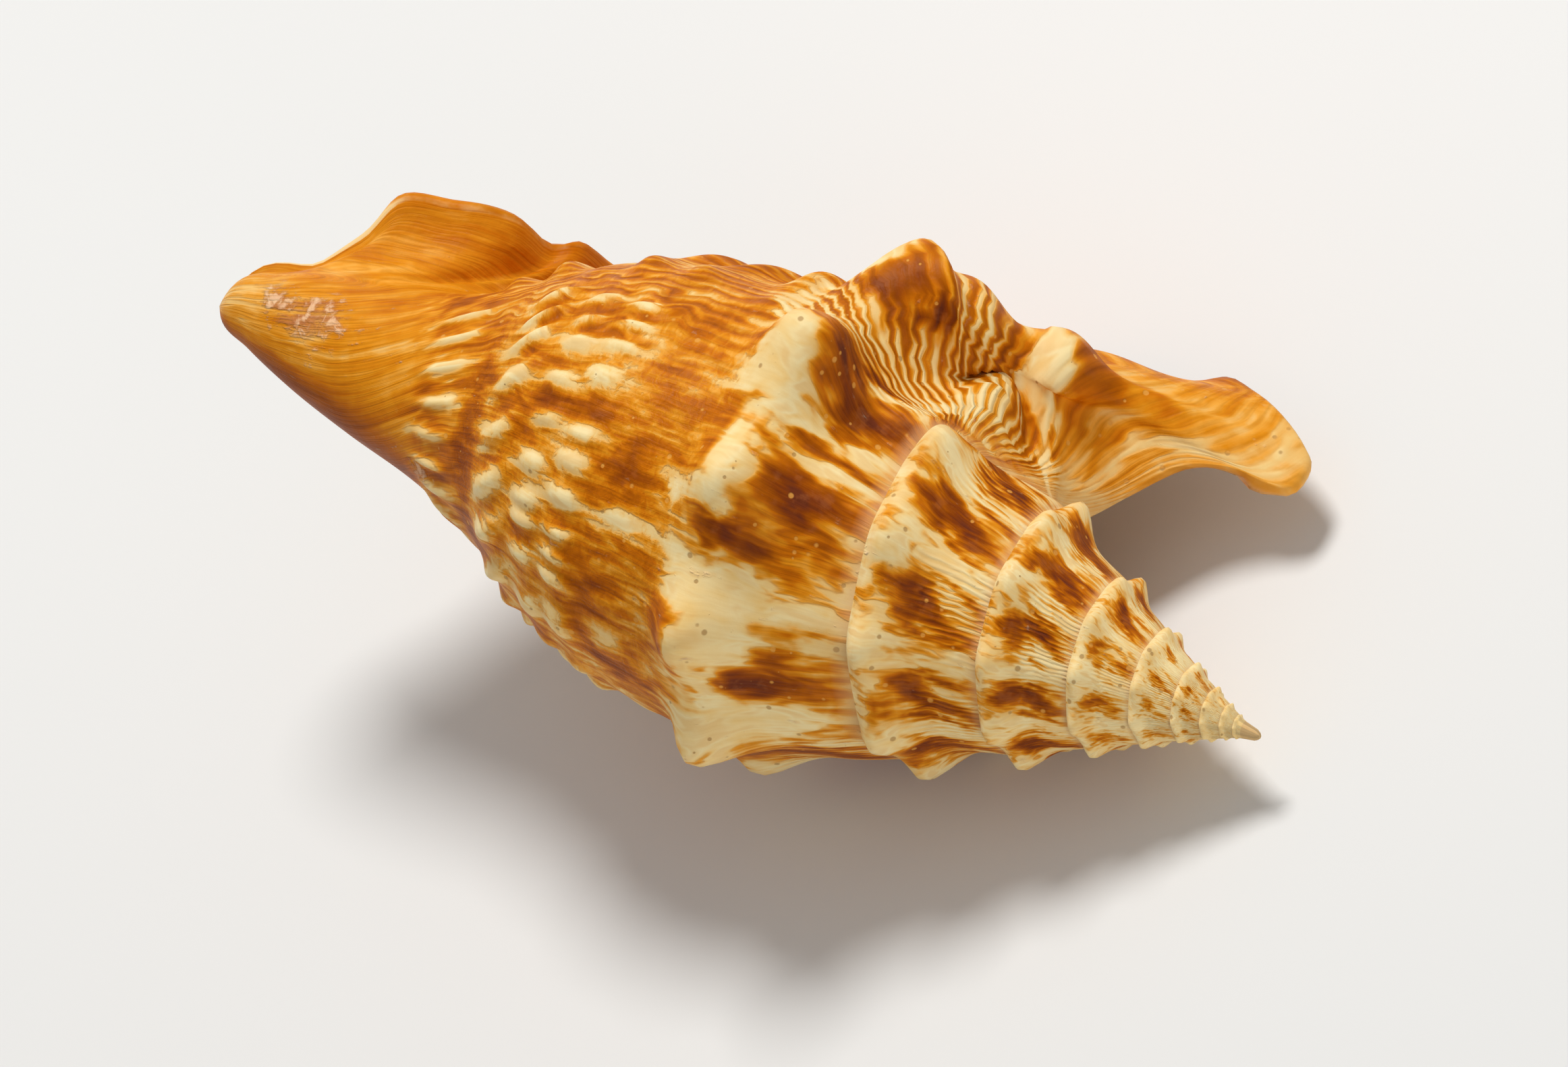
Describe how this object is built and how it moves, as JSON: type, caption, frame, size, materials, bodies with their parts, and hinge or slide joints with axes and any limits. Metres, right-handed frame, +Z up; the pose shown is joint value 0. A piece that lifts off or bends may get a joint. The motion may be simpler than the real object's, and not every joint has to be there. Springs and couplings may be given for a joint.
{
  "type": "conch shell",
  "caption": "Rooster-tail conch: knobbed spire, wide body whorl, flared lip drawn out into a tail, short canal and open aperture.",
  "frame": {"origin": "centre of the shell's bounding box, on the surface it lies on", "axes": "+X from the canal towards the apex of the spire, +Y towards the outer lip, +Z up from the aperture to the back"},
  "size_m": [0.144, 0.0752, 0.0583],
  "materials": {
    "shell_amber": "satin, amber and cream"
  },
  "bodies": {
    "root": {"conch_shell": "shell_amber"}
  },
  "joints": []
}
